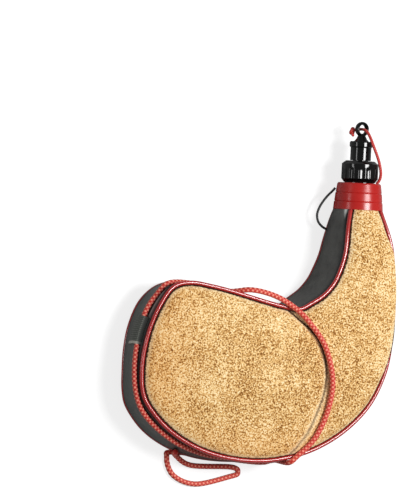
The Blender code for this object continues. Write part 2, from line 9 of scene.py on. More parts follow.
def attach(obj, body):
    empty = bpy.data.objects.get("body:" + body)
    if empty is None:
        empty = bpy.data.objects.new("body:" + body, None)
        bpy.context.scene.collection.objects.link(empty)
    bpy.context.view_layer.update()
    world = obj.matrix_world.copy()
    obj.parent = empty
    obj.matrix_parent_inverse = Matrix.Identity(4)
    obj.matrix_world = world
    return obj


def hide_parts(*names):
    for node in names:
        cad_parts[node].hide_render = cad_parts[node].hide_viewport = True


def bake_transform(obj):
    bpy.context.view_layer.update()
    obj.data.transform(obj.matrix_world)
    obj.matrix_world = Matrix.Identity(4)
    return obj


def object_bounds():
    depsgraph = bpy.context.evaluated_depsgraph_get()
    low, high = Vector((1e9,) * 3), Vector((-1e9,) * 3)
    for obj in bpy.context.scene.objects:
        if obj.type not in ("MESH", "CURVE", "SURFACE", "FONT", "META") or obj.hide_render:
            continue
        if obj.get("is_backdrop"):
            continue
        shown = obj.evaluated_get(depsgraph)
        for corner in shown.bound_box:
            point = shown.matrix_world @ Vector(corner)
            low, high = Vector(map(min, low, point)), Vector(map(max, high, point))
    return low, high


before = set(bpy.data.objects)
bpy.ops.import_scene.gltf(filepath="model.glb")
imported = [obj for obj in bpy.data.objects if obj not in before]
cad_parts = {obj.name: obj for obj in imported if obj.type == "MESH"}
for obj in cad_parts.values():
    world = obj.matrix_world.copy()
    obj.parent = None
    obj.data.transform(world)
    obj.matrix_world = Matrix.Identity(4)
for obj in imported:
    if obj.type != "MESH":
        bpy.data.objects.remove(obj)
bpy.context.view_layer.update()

# FRONT PANEL
# The upper face of the bag, one piece of golden tan suede with its nap outside. It is cut to the rim below,
# turned up beside the seam, and puckers a little at each stitch.
MM = 0.001
body_width = 232 * MM
body_length = 215 * MM
axis_height = 26 * MM
front_rise = 21 * MM
back_drop = 19 * MM
back_spread = 4.5 * MM
leather = 1.6 * MM
gusset_bulge = 1.5 * MM
piping_diameter = 3.5 * MM
seam_edge = piping_diameter / 2 + 0.3 * MM
front_shoulder = 4 * MM
shoulder_reach = 4 * MM
front_crown = 6 * MM
back_crown = 14 * MM
crown_reach = 75 * MM
mouth_radius = 19 * MM
neck_flare_share = 0.4
neck_blend = 45 * MM
rim_stand = 0.9 * MM
clamp_radius = 16 * MM
clamp_foot = 9 * MM
leather_top = 17.4 * MM
axis_x = body_width * 0.466
mouth_y = body_length * 0.665
corner = math.radians(45)
pucker_pitch = 4.6 * MM
pucker_depth = 0.45 * MM
pucker_reach = 3.5 * MM
slack_depth = 1.1 * MM
puff_out = 4.5 * MM           # how far the filled skin bulges over the outer seam
puff_rise = 2 * MM
puff_reach = 2.8 * MM
puff_span = (62.6, 66, 75, 79)              # from, full, full to, ends at, in the CAD model's stations
seam_shadow_span = (62.4, 65.4, 66.4, 70)
seam_shadow_depth = 2.6 * MM       # how far the painted shade of the seam reaches up the bulge's underside there
thin_span = (48, 52, 63, 64)
thin_seam = 0.45 * MM         # by how much the dark of the seam is narrower there
slack_reach = 12 * MM
fold_depth = 1.3 * MM         # the long soft fold down the front
fold_width = 1.8 * MM
fold_lip = 0.9 * MM
fold_lip_off = 4 * MM
fold_lip_width = 2.6 * MM
fold_line = [                 # in millimetres
    (32.9, 58.4), (45.5, 47.7), (58.7, 37.4), (66.2, 26.1), (70.4, 12.8), (71.7, -1.4), (70.6, -14.1),
    (67.1, -25.8), (60.2, -44.7), (51.5, -58.1), (46.3, -64.8),
]

# Across and down of the inner and the outer rim, front height, back depth, spread inner and outer,
# bulge inner and outer
rim_row_shares = [
    (-0.064, 0.043, 0.080, 0.035, 0.71, 0.76, 0.1, 0.0, 1.0, 1.0),
    (-0.070, 0.086, 0.092, 0.082, 0.80, 0.82, 0.3, 0.0, 1.0, 1.0),
    (-0.077, 0.133, 0.101, 0.132, 0.88, 0.86, 0.7, 0.0, 1.0, 1.0),
    (-0.088, 0.184, 0.109, 0.190, 0.94, 0.89, 0.9, 0.0, 1.0, 1.0),
    (-0.105, 0.240, 0.116, 0.256, 0.98, 0.94, 1.0, 0.0, 1.0, 1.0),
    (-0.129, 0.294, 0.120, 0.330, 1.00, 0.97, 1.0, 0.0, 1.0, 1.0),
    (-0.167, 0.341, 0.121, 0.416, 1.00, 0.99, 0.9, 0.0, 1.0, 1.0),
    (-0.216, 0.376, 0.117, 0.514, 1.00, 1.00, 0.7, 0.0, 1.0, 1.0),
    (-0.264, 0.401, 0.097, 0.640, 0.98, 1.00, 0.3, 0.0, 1.0, 1.0),
    (-0.326, 0.395, 0.040, 0.768, 0.95, 1.00, 0.0, 0.0, 0.3, 0.3),
    (-0.391, 0.381, -0.059, 0.875, 0.92, 1.00, 0.0, 0.0, -1.0, -1.5),
    (-0.463, 0.363, -0.183, 0.952, 0.89, 1.00, 0.0, 0.0, -2.0, -3.0),
    (-0.540, 0.344, -0.318, 0.993, 0.86, 1.00, 0.0, 0.0, -3.0, -3.3),
    (-0.622, 0.328, -0.443, 1.002, 0.84, 1.00, 0.0, 0.2, -3.0, -3.3),
    (-0.703, 0.319, -0.569, 0.985, 0.82, 1.00, -0.3, 0.6, -2.0, -2.5),
    (-0.772, 0.340, -0.680, 0.945, 0.80, 1.00, -0.4, 0.9, -0.5, -1.0),
    (-0.820, 0.411, -0.772, 0.886, 0.78, 1.00, 0.4, 1.0, 0.5, 0.5),
    (-0.855, 0.503, -0.842, 0.811, 0.75, 1.00, 0.45, 0.7, 1.0, 1.0),
    (-0.873, 0.594, -0.870, 0.752, 0.72, 1.00, 0.2, 0.2, 1.0, 1.0),
]
tip_shares = (-0.878, 0.674, 0.71, 1.0, 0.0, 1.0)
station_steps = 16            # stations to a span of the rim, where the CAD model has 2


def mix(a, b, share):
    """Value or vector between a and b."""
    return a + (b - a) * share


def smooth_step(t):
    t = min(max(t, 0), 1)
    return t * t * (3 - 2 * t)


def hump(place, start, full, fade, end):
    """Rises from 0 to 1 between start and full, and falls to 0 between fade and end."""
    return smooth_step((place - start) / (full - start)) * smooth_step((end - place) / (end - fade))


def curve_through(points, steps):
    """Points read from a smooth curve through the given ones, steps to a span."""
    run = []
    end = len(points) - 1
    for i in range(end):
        a, b, c, d = (points[max(i - 1, 0)], points[i], points[i + 1], points[min(i + 2, end)])
        for step in range(steps):
            t = step / steps
            run.append(tuple(
                0.5 * (2 * q + (r - p) * t + (2 * p - 5 * q + 4 * r - s) * t ** 2
                       + (3 * q - p - 3 * r + s) * t ** 3)
                for p, q, r, s in zip(a, b, c, d)))
    run.append(tuple(points[-1]))
    return run


def leather_radius(y):
    above = y - mouth_y
    if above >= clamp_foot:
        return clamp_radius
    if above > 0:
        return mix(mouth_radius, clamp_radius, above / clamp_foot)
    return mouth_radius - neck_flare_share * above


def rim_stations():
    """Stations round the rim, from the neck's inner side by the bulb's tip to its outer side."""
    inner, outer = [], []
    for xi, yi, xo, yo, front, back, spread_in, spread_out, bulge_in, bulge_out in rim_row_shares:
        heights = (axis_height + front * front_rise, axis_height - back * back_drop)
        inner.append((xi * body_width, mouth_y - yi * body_length) + heights
                     + (spread_in * back_spread, bulge_in * gusset_bulge))
        outer.append((xo * body_width, mouth_y - yo * body_length) + heights
                     + (spread_out * back_spread, bulge_out * gusset_bulge))
    corner_out = (mouth_radius + rim_stand) * math.sin(corner)
    mouth_heights = (axis_height + corner_out, axis_height - corner_out, 0, gusset_bulge)
    inner.insert(0, (-corner_out, mouth_y) + mouth_heights)
    outer.insert(0, (corner_out, mouth_y) + mouth_heights)
    x, y, front, back, spread, bulge = tip_shares
    tip = (x * body_width, mouth_y - y * body_length, axis_height + front * front_rise,
           axis_height - back * back_drop, spread * back_spread, bulge * gusset_bulge)
    run = curve_through(inner + [tip] + outer[::-1], station_steps)
    inside = [mouth_y + leather_top, mouth_y + clamp_foot]
    run = ([(run[0][0], y) + run[0][2:] for y in inside] + run
           + [(run[-1][0], y) + run[-1][2:] for y in inside[::-1]])
    made = []
    for i, (x, y, front, back, spread, bulge) in enumerate(run):
        before, after = run[max(i - 1, 0)], run[min(i + 1, len(run) - 1)]
        along = Vector((after[0] - before[0], after[1] - before[1])).normalized()
        out = Vector((along.y, -along.x, 0))
        share = 1 - smooth_step((mouth_y - y) / neck_blend)
        side = -1 if i < len(run) // 2 else 1
        reach = (leather_radius(y) + rim_stand) * math.sin(corner)
        flat_front = Vector((axis_x + x, y, front))
        flat_back = Vector((axis_x + x, y, back)) + out * spread
        made.append({
            "flat_front": flat_front,
            "front": mix(flat_front, Vector((axis_x + side * reach, y, axis_height + reach)), share),
            "flat_back": flat_back,
            "back": mix(flat_back, Vector((axis_x + side * reach, y, axis_height - reach)), share),
            "out": out, "bulge": bulge, "neck": share, "side": side, "y": y,
        })
    run_length = 0
    for one, two in zip(made, made[1:] + made[-1:]):
        one["along"] = run_length
        run_length += (two["front"] - one["front"]).length
    return made


stations = rim_stations()
last = len(stations) - 1
middle = last // 2
mouth_station = 2


def station_of(cad_station):
    """The station here of a station in the CAD model."""
    return round(mouth_station + (cad_station - mouth_station) * station_steps / 2)


def cad_place(station):
    """The place in the CAD model's stations of a station here."""
    return (station - mouth_station) * 2 / station_steps + mouth_station


def rim_reach(face, point, hint):
    """Distance in plan from a point of a panel to that panel's rim, and the nearest station."""
    best, nearest = None, hint
    for i in range(0, last, 4):
        gap = (stations[i]["flat_" + face].to_2d() - point.to_2d()).length_squared
        if best is None or gap < best:
            best, nearest = gap, i
    best = None
    for i in range(max(nearest - 4, 0), min(nearest + 4, last)):
        a, b = stations[i]["flat_" + face].to_2d(), stations[i + 1]["flat_" + face].to_2d()
        run = b - a
        t = min(max((point.to_2d() - a).dot(run) / max(run.length_squared, 1e-12), 0), 1)
        gap = (point.to_2d() - a - run * t).length
        if best is None or gap < best:
            best, nearest = gap, i + t
    return best, nearest


fold_run = [Vector(point) * MM for point in curve_through(fold_line, 4)]


def fold_gap(point):
    """Distance in plan from the long fold in the front, negative on its inner side."""
    best = 1.0
    for a, b in zip(fold_run, fold_run[1:]):
        run, off = b - a, point.to_2d() - a
        t = min(max(off.dot(run) / run.length_squared, 0), 1)
        gap = off - run * t
        if gap.length < abs(best):
            best = math.copysign(gap.length, run.cross(off))
    return best


def panel_point(face, i, share):
    """A point of the front or back panel's outside, and its distance from the seam."""
    one, two = stations[i], stations[last - i]
    start = one["flat_" + face] - one["out"] * seam_edge
    end = two["flat_" + face] - two["out"] * seam_edge
    point = mix(start, end, share)
    reach, nearest = rim_reach(face, point, i)
    gap = max(reach - seam_edge, 0)
    fullness = 1 - (1 - min(gap / crown_reach, 1)) ** 2
    place = stations[round(nearest)]["along"] / pucker_pitch
    pucker = pucker_depth * math.exp(-gap / pucker_reach) * (0.5 - 0.5 * math.cos(math.tau * place))
    pucker *= 0.4 + 0.6 * abs(noise.noise(point * 60))
    slack = slack_depth * (0.5 + 0.5 * noise.noise(point * 22)) * min(gap / slack_reach, 1)
    if face == "front":
        rise = front_shoulder * (1 - math.exp(-gap / shoulder_reach)) + front_crown * fullness
        place = cad_place(nearest)
        puff = hump(place, *puff_span)
        rise += puff * puff_rise * (1 - math.exp(-gap / puff_reach)) * math.exp(-gap / (9 * puff_reach))
        fold = fold_gap(point)
        rise -= fold_depth * math.exp(-(fold / fold_width) ** 2)
        rise += fold_lip * math.exp(-((fold - fold_lip_off) / fold_lip_width) ** 2)
        bulge = puff * puff_out * gap / puff_reach * math.exp(1 - gap / puff_reach)
        point += stations[round(nearest)]["out"] * bulge
        point.z += leather / 2 + rise - pucker - slack
        # The seam's dark line, narrowed along the thin span and widened by painted shade up the underside of
        # the bulge.
        gap += thin_seam * hump(place, *thin_span) - seam_shadow_depth * hump(place, *seam_shadow_span)
        up = 1
    else:
        point.z = max(point.z - leather / 2 - back_crown * fullness + pucker, 0)
        up = -1
    radius = leather_radius(one["y"])
    angle = (2 * share - 1) * (corner - seam_edge / radius)
    circle = Vector((axis_x + radius * math.sin(angle), mix(one["y"], two["y"], share),
                     axis_height + up * radius * math.cos(angle)))
    return mix(point, circle, mix(one["neck"], two["neck"], share)), gap


def alone(piece):
    """Selects one piece and makes it the active one."""
    bpy.ops.object.select_all(action="DESELECT")
    piece.select_set(True)
    bpy.context.view_layer.objects.active = piece


def laid_grid(name, columns, rows, place):
    """A grid primitive whose points are laid where place says, with its doubles merged."""
    bpy.ops.object.select_all(action="DESELECT")
    bpy.ops.mesh.primitive_grid_add(x_subdivisions=columns, y_subdivisions=rows, size=2)
    piece = bpy.context.object
    piece.name = piece.data.name = name
    for vertex in piece.data.vertices:
        across, along = (vertex.co.x + 1) / 2, (vertex.co.y + 1) / 2
        vertex.co = place(across, along)
    bpy.ops.object.mode_set(mode="EDIT")
    bpy.ops.mesh.select_all(action="SELECT")
    bpy.ops.mesh.remove_doubles(threshold=0.00002)
    bpy.ops.object.mode_set(mode="OBJECT")
    return piece


def thickened(piece, thickness, offset, flipped=False):
    """Turns an open sheet's faces outwards and gives it its thickness."""
    alone(piece)
    if flipped:
        piece.data.flip_normals()
    wall = piece.modifiers.new("wall", "SOLIDIFY")
    wall.thickness = thickness
    wall.offset = offset
    wall.use_even_offset = False
    bpy.ops.object.modifier_apply(modifier="wall")
    bpy.ops.object.shade_smooth_by_angle(angle=math.radians(50))
    return piece


def spot(point):
    """A point's place, rounded, to look it up by."""
    return tuple(round(value, 6) for value in point)


def marked(piece, attribute, value_at):
    """Keeps a value at each point of a piece, for its finish."""
    kept = piece.data.attributes.new(attribute, "FLOAT", "POINT")
    for vertex, value in zip(piece.data.vertices, kept.data):
        value.value = value_at(vertex.co)


def suede_panel(name, face):
    """A face of the bag, marked with each point's millimetres from the seam and from the fold."""
    seam = {}

    def place(across, along):
        share = across - 0.85 / math.tau * math.sin(math.tau * across)
        i = min(round(along * middle), middle)
        if i == middle:
            tip = stations[middle]
            point = tip[face] - tip["out"] * seam_edge
            point.z += leather / 2 if face == "front" else -leather / 2
            gap = 0
        else:
            point, gap = panel_point(face, i, share)
        seam[spot(point)] = gap
        return point

    piece = laid_grid(name, 40, middle, place)
    marked(piece, "seam", lambda point: seam.get(spot(point), 0) / MM)
    marked(piece, "fold", lambda point: fold_gap(point) / MM if face == "front" else 99)
    return thickened(piece, leather, -1, flipped=face == "front")


def put(tree, kind, values=None, links=None, **settings):
    """Adds a shader node with its settings, its plain values and its incoming links."""
    made = tree.nodes.new("ShaderNode" + kind)
    for key, value in settings.items():
        setattr(made, key, value)
    for key, value in (values or {}).items():
        made.inputs[key].default_value = value
    for key, source in (links or {}).items():
        tree.links.new(source, made.inputs[key])
    return made


def ramp(tree, source, stops):
    """A colour ramp over a value."""
    made = put(tree, "ValToRGB", links={"Fac": source})
    for place, colour in stops[1:-1]:
        made.color_ramp.elements.new(place)
    for element, (place, colour) in zip(made.color_ramp.elements, stops):
        element.position = place
        element.color = (*colour, 1)
    return made.outputs["Color"]


def speckle(tree, where, scale, detail=2, roughness=0.5):
    """A noise over a piece."""
    return put(tree, "TexNoise", {"Scale": scale, "Detail": detail, "Roughness": roughness},
               {"Vector": where}).outputs["Fac"]


def spread(tree, value, low, high, start, end):
    """A value that runs from low to high, made to run from start to end."""
    return put(tree, "MapRange", {"From Min": low, "From Max": high, "To Min": start, "To Max": end},
               {"Value": value}).outputs["Result"]


def reckon(tree, one, two, operation="ADD"):
    """Two values added, or joined by another operation."""
    return put(tree, "Math", links={0: one, 1: two}, operation=operation).outputs[0]


def tinted(tree, colour, tone, share, **settings):
    """A colour with a tone laid over a share of it."""
    return put(tree, "Mix", {"B": (*tone, 1)}, {"Factor": share, "A": colour}, data_type="RGBA",
               **settings).outputs["Result"]


def raised(tree, shader, height, strength, distance):
    """Gives a finish its fine relief."""
    bump = put(tree, "Bump", {"Strength": strength, "Distance": distance}, {"Height": height})
    tree.links.new(bump.outputs["Normal"], shader.inputs["Normal"])


def plain_finish(name, roughness, **sockets):
    """A new material with its tree, shader and Object coordinates."""
    made = bpy.data.materials.new(name)
    made.use_nodes = True
    tree = made.node_tree
    shader = tree.nodes["Principled BSDF"]
    shader.inputs["Roughness"].default_value = roughness
    for key, value in sockets.items():
        shader.inputs[key.replace("_", " ")].default_value = value
    where = put(tree, "TexCoord").outputs["Object"]
    return made, tree, shader, where


def suede_finish():
    """Golden nap in small flecks, with painted shade that darkens and warms it on the left and below, a dark
    line and a pale band at the seam, and along the fold a painted shadow line with a painted highlight band
    beside it.
    """
    made, tree, shader, where = plain_finish("suede", 0.95, Sheen_Weight=0.1, Sheen_Roughness=0.5,
                                             Specular_IOR_Level=0.12)
    shader.inputs["Sheen Tint"].default_value = (1, 0.86, 0.62, 1)
    nap = speckle(tree, where, 760, 2, 0.6)
    shade = nap
    for scale, detail, rough, most in ((26, 3, 0.6, 0.05), (160, 2, 0.5, 0.025)):
        patch = spread(tree, speckle(tree, where, scale, detail, rough), 0.3, 0.7, -most, most)
        shade = reckon(tree, shade, patch)
    colour = ramp(tree, shade, [
        (0.34, (0.2, 0.075, 0.014)), (0.43, (0.5, 0.24, 0.065)), (0.49, (0.76, 0.45, 0.16)),
        (0.57, (0.93, 0.66, 0.31)), (0.66, (1.0, 0.84, 0.53))])
    split = put(tree, "SeparateXYZ", links={"Vector": where})
    # Painted shade: the suede is made darker and warmer towards the left and towards the bottom.
    left = spread(tree, split.outputs["X"], -0.09, -0.035, 1, 0)
    low = spread(tree, split.outputs["Y"], -0.07, -0.035, 0.9, 0)
    painted_side_shade = reckon(tree, left, low, "MAXIMUM")
    colour = tinted(tree, colour, (0.96, 0.82, 0.7), painted_side_shade, blend_type="MULTIPLY")
    ragged = spread(tree, nap, 0.3, 0.7, -0.35, 0.35)
    seam = put(tree, "Attribute", attribute_name="seam").outputs["Fac"]
    fold = put(tree, "Attribute", attribute_name="fold").outputs["Fac"]
    edge = reckon(tree, seam, ragged)
    fold_shadow_gap = reckon(tree, put(tree, "Math", links={0: fold}, operation="ABSOLUTE").outputs[0], ragged)
    soft = spread(tree, split.outputs["Y"], -0.05, 0.03, 0.55, 1)
    # Beside the seam a pale band and a dark line; along the fold a painted highlight band and a painted shadow
    # line, weaker towards the bottom.
    for gap, pale, dark, blur, deep, most in ((edge, 1.5, 0.95, 0.35, (0.03, 0.008, 0.003), None),
                                              (fold_shadow_gap, 1.7, 1.0, 0.6, (0.05, 0.015, 0.005), soft)):
        colour = tinted(tree, colour, (1.0, 0.8, 0.5), spread(tree, gap, pale, pale + 1.8, 0.4, 0))
        line = spread(tree, gap, dark - blur, dark + blur, 1, 0)
        if most:
            line = reckon(tree, line, most, "MULTIPLY")
        colour = tinted(tree, colour, deep, line)
    tree.links.new(colour, shader.inputs["Base Color"])
    height = put(tree, "Math", {1: 0.5}, {0: speckle(tree, where, 1500)}, operation="MULTIPLY").outputs[0]
    raised(tree, shader, reckon(tree, height, nap), 0.6, 0.0004)
    return made


suede = suede_finish()
front_suede = suede_panel("front_suede", "front")
front_suede.data.materials.append(suede)
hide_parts("front_panel")
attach(front_suede, "bag")

# BACK PANEL
# The lower face, of the same suede. The filled bag's weight presses its middle flat on what it lies on.
back_suede = suede_panel("back_suede", "back")
back_suede.data.materials.append(suede)
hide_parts("back_panel")
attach(back_suede, "bag")

# GUSSET
# The side band of dark grey leatherette, sewn between the two faces from the neck round the bulb and back.
# It folds in behind the cord along the bottom, and buckles in long soft creases where it turns.
gusset_leather = 1.4 * MM
crease_depth = 0.5 * MM
front_shade = 2.4 * MM        # reach of the painted shade beside the front seam
back_shade = 1.2 * MM
highlight_share = 0.88           # where the painted highlight lies between the seams, round the bulb's corner
highlight_width = 0.6 * MM
highlight_span = (34.2, 35, 36.7, 37.3)
# A second painted highlight, a narrow wedge beside the front seam just below the collar.
neck_highlight_share = 0.93
neck_highlight_width = 1.6 * MM
neck_highlight_end = 4.4
neck_highlight_length = 2.4      # in the CAD model's stations
# Painted light: the gusset is made paler round the bulb's outer bend.
painted_side_light_span = (30, 35, 48, 54)


def gusset_point(i, share, inset=0.0):
    """A point of the gusset's outside at a station, from the back seam at 0 to the front seam at 1."""
    station = stations[i]
    edge = seam_edge + max(inset, 0)
    low = station["flat_back"] + Vector((0, 0, edge))
    high = station["flat_front"] - Vector((0, 0, edge))
    point = mix(low, high, share) + station["out"] * (station["bulge"] * 4 * share * (1 - share) - inset)
    radius = leather_radius(station["y"]) - inset
    angle = (2 * share - 1) * (corner - (0 if inset > 0 else edge / radius))
    circle = Vector((axis_x + station["side"] * radius * math.cos(angle), station["y"],
                     axis_height + radius * math.sin(angle)))
    return mix(point, circle, station["neck"])


gusset_marks = {}


def creased_gusset(across, along):
    i = round(along * last)
    point = gusset_point(i, across)
    where = stations[i]["along"]
    crease = (noise.noise(Vector((where * 45, across * 5, 3))) * 0.7
              + noise.noise(Vector((where * 130, across * 3, 8))) * 0.3)
    dent = crease_depth * (crease - 0.5) * 4 * across * (1 - across) * (1 - stations[i]["neck"])
    point += stations[i]["out"] * dent
    width = stations[i]["front"].z - stations[i]["back"].z
    # Painted shade in the seams' recesses, darkest beside the front seam.
    shade = max(math.exp(-((1 - across) * width / front_shade) ** 2),
                0.8 * math.exp(-(across * width / back_shade) ** 2))
    place = cad_place(i)
    # Painted highlights: a thin line round the bulb's corner and a wedge below the collar, which lift the
    # painted shade there.
    neck = smooth_step((neck_highlight_end - place) / neck_highlight_length)
    tapered = neck_highlight_width * neck + 0.01 * MM
    bend = 0.5 * hump(place, *highlight_span)
    painted_highlight = max(bend * math.exp(-((across - highlight_share) * width / highlight_width) ** 2),
                 neck * math.exp(-((across - neck_highlight_share) * width / tapered) ** 2))
    gusset_marks[spot(point)] = shade * (1 - painted_highlight), painted_highlight, 0.6 * hump(place, *painted_side_light_span)
    return point


def finish_group(name, sizes, output):
    """A node group with a place, a few numbers and one output, still empty between its ends."""
    group = bpy.data.node_groups.new(name, "ShaderNodeTree")
    group.interface.new_socket("Vector", in_out="INPUT", socket_type="NodeSocketVector")
    for size in sizes:
        group.interface.new_socket(size, in_out="INPUT", socket_type="NodeSocketFloat")
    group.interface.new_socket(output, in_out="OUTPUT", socket_type="NodeSocketFloat")
    return group, group.nodes.new("NodeGroupInput").outputs, group.nodes.new("NodeGroupOutput").inputs[output]


def grain_group():
    """Pebbled grain of leatherette: cells with soft dips between them."""
    group, given, height = finish_group("pebbled_grain", ("Scale",), "Height")
    scaled = {"Vector": given["Vector"], "Scale": given["Scale"]}
    cells = put(group, "TexVoronoi", {"Randomness": 0.9}, scaled, feature="SMOOTH_F1").outputs["Distance"]
    dust = put(group, "TexNoise", {"Detail": 3}, scaled).outputs["Fac"]
    group.links.new(reckon(group, dust, cells, "SUBTRACT"), height)
    return group


def wear_group():
    """Broad soft patches, for handling marks and dullness."""
    group, given, value = finish_group("handling_wear", ("Low", "High"), "Value")
    patches = speckle(group, given["Vector"], 90, 4, 0.6)
    worn = put(group, "MapRange", {"From Min": 0.3, "From Max": 0.7},
               {"Value": patches, "To Min": given["Low"], "To Max": given["High"]}).outputs["Result"]
    group.links.new(worn, value)
    return group


pebbled_grain = grain_group()
handling_wear = wear_group()


def place_group(tree, group, where, **values):
    """Places a shared node group and gives its first output."""
    made = put(tree, "Group")
    made.node_tree = group
    tree.links.new(where, made.inputs["Vector"])
    for key, value in values.items():
        made.inputs[key].default_value = value
    return made.outputs[0]


def moulded(name, dark, light, low, high, grain=2200, grain_depth=0.00004, marks=(), **sockets):
    """A moulded or coated finish: two close colours in patches, marks over them, uneven gloss and a grain."""
    made, tree, shader, where = plain_finish(name, low, **sockets)
    patches = place_group(tree, handling_wear, where, Low=0.0, High=1.0)
    colour = ramp(tree, patches, [(0.0, dark), (1.0, light)])
    for attribute, tone in marks:
        colour = tinted(tree, colour, tone, put(tree, "Attribute", attribute_name=attribute).outputs["Fac"])
    tree.links.new(colour, shader.inputs["Base Color"])
    gloss = place_group(tree, handling_wear, where, Low=low, High=high)
    tree.links.new(gloss, shader.inputs["Roughness"])
    raised(tree, shader, place_group(tree, pebbled_grain, where, Scale=grain), 0.5, grain_depth)
    return made


# Marks over the gusset's leatherette: painted light on the outer bend, painted shade beside the seams and the
# cord, and painted highlights.
grey_leatherette = moulded(
    "grey_leatherette", (0.06, 0.06, 0.056), (0.12, 0.122, 0.112), 0.32, 0.46, 900, 0.00022,
    marks=(("painted_side_light", (0.17, 0.18, 0.172)), ("shade", (0.003, 0.003, 0.004)), ("painted_highlight", (0.75, 0.78, 0.74))))
gusset = laid_grid("side_gusset", 32, last, creased_gusset)
for which, attribute in enumerate(("shade", "painted_highlight", "painted_side_light")):
    marked(gusset, attribute, lambda point: gusset_marks.get(spot(point), (0, 0, 0))[which])
thickened(gusset, gusset_leather, -1)
gusset.data.materials.append(grey_leatherette)
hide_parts("gusset")
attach(gusset, "bag")

# LINER
# The latex bladder inside, which holds the wine and is bound to the neck insert. It hardly shows, so the CAD
# model's own shape serves.
def refinished(node, finish):
    """Gives a piece of the CAD model its finish, with its shape as it is."""
    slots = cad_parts[node].data.materials
    slots.clear()
    slots.append(finish)


refinished("liner", moulded("latex", (0.55, 0.42, 0.26), (0.66, 0.54, 0.36), 0.4, 0.6, 700, 0.0001))

# PIPING
# A bead of glossy red vinyl in each seam, from the collar's foot round the bag and back.
red_vinyl = moulded("red_vinyl", (0.38, 0.009, 0.009), (0.45, 0.013, 0.012), 0.25, 0.34, 1400, 0.000006,
                    Coat_Weight=1.0, Coat_Roughness=0.15)


def tube(name, points, radius, around=16, relief=None, closed=False):
    """A tube of rings along points, closed at its ends, with each ring point's radius from relief."""
    count = len(points)
    verts, faces, heights = [], [], []
    tangents = []
    for i in range(count):
        before = points[i - 1 if closed or i else 0]
        after = points[(i + 1) % count if closed else min(i + 1, count - 1)]
        tangents.append((after - before).normalized())
    side = tangents[0].orthogonal().normalized()
    sides = []
    for tangent in tangents:
        side = (side - tangent * side.dot(tangent)).normalized()
        sides.append(side)
    spare = 0.0
    if closed:
        ahead = (side - tangents[0] * side.dot(tangents[0])).normalized()
        spare = math.atan2(ahead.cross(sides[0]).dot(tangents[0]), ahead.dot(sides[0]))
    travelled = 0.0
    for i, (point, tangent, side) in enumerate(zip(points, tangents, sides)):
        up = tangent.cross(side)
        twist = spare * i / count
        for k in range(around):
            turn = math.tau * k / around
            high = relief(turn, travelled) if relief else 1.0
            heights.append(high)
            angle = turn + twist
            verts.append(point + (side * math.cos(angle) + up * math.sin(angle)) * radius(travelled, high))
        if i + 1 < count:
            travelled += (points[i + 1] - point).length
    for i in range(count if closed else count - 1):
        one, two = i * around, (i + 1) % count * around
        for k in range(around):
            nxt = (k + 1) % around
            faces.append((one + k, one + nxt, two + nxt, two + k))
    if not closed:
        for ring, turned_round in ((0, True), (count - 1, False)):
            verts.append(points[ring])
            heights.append(0.5)
            for k in range(around):
                pair = (ring * around + k, ring * around + (k + 1) % around)
                faces.append((*(pair[::-1] if turned_round else pair), len(verts) - 1))
    mesh = bpy.data.meshes.new(name)
    mesh.from_pydata([tuple(v) for v in verts], [], faces)
    mesh.attributes.new("relief", "FLOAT", "POINT").data.foreach_set("value", heights)
    mesh.shade_smooth()
    piece = bpy.data.objects.new(name, mesh)
    bpy.context.scene.collection.objects.link(piece)
    return piece


bead_gap = 0.3 * MM            # between a bead's end and the collar
for face in ("front", "back"):
    bead = [stations[i][face].copy() for i in range(mouth_station, last - mouth_station + 1)]
    for end, beside in ((0, 1), (-1, -2)):
        along = (bead[beside] - bead[end]).normalized()
        bead[end] += along * (bead_gap + math.hypot(along.x, along.z) * piping_diameter / 2)
    piping = tube(face + "_bead", bead, lambda run, high: piping_diameter / 2, 28)
    piping.data.materials.append(red_vinyl)
    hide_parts(face + "_piping")
    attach(piping, "bag")

# STITCHES
# Dark thread that sews each face to its piping, laid in the valley beside the bead.
stitch_pitch = 3.1 * MM
stitch_length = 2.2 * MM
stitch_thickness = 0.55 * MM
stitch_lift = 0.15 * MM
stitch_off = 0.1 * MM          # from the edge of the face
dark_thread, tree, shader, where = plain_finish("dark_thread", 0.8)
thread_shades = [(0.3, (0.012, 0.006, 0.004)), (0.7, (0.05, 0.02, 0.012))]
tree.links.new(ramp(tree, speckle(tree, where, 2500), thread_shades), shader.inputs["Base Color"])


def stitch_row(name, points, up):
    """One thread stitch modelled once, and copied along a line of points."""
    bpy.ops.object.select_all(action="DESELECT")
    bpy.ops.mesh.primitive_uv_sphere_add(segments=8, ring_count=5, radius=0.5)
    one = bpy.context.object
    one.data.transform(Matrix.Diagonal((stitch_length, stitch_thickness, stitch_thickness, 1)))
    rows, travelled, due = [one], 0.0, stitch_pitch / 2
    for a, b in zip(points, points[1:]):
        travelled += (b - a).length
        if travelled >= due:
            due += stitch_pitch
            along = (b - a).normalized()
            across = up.cross(along).normalized()
            copy = one.copy()
            copy.data = one.data.copy()
            turn = Matrix((along, across, along.cross(across))).transposed().to_4x4()
            copy.data.transform(Matrix.Translation(a) @ turn)
            bpy.context.scene.collection.objects.link(copy)
            rows.append(copy)
    bpy.ops.object.select_all(action="DESELECT")
    for piece in rows[1:]:
        piece.select_set(True)
    bpy.context.view_layer.objects.active = rows[1]
    bpy.ops.object.join()
    row = bpy.context.object
    bpy.data.objects.remove(one)
    row.name = row.data.name = name
    row.data.shade_smooth()
    row.data.materials.append(dark_thread)
    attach(row, "bag")
    return row


for face, lift in (("front", 1), ("back", -1)):
    line = []
    for i in range(mouth_station, last - mouth_station + 1):
        station = stations[i]
        inwards = (Vector((axis_x, station["y"], axis_height)) - station[face]).normalized()
        point = station[face] - station["out"] * (seam_edge + stitch_off) * (1 - station["neck"])
        point += inwards * stitch_off * station["neck"]
        point.z += lift * (leather / 2 + stitch_lift) * (1 - station["neck"])
        line.append(point)
    stitch_row(face + "_stitches", line, Vector((0, 0, 1)))

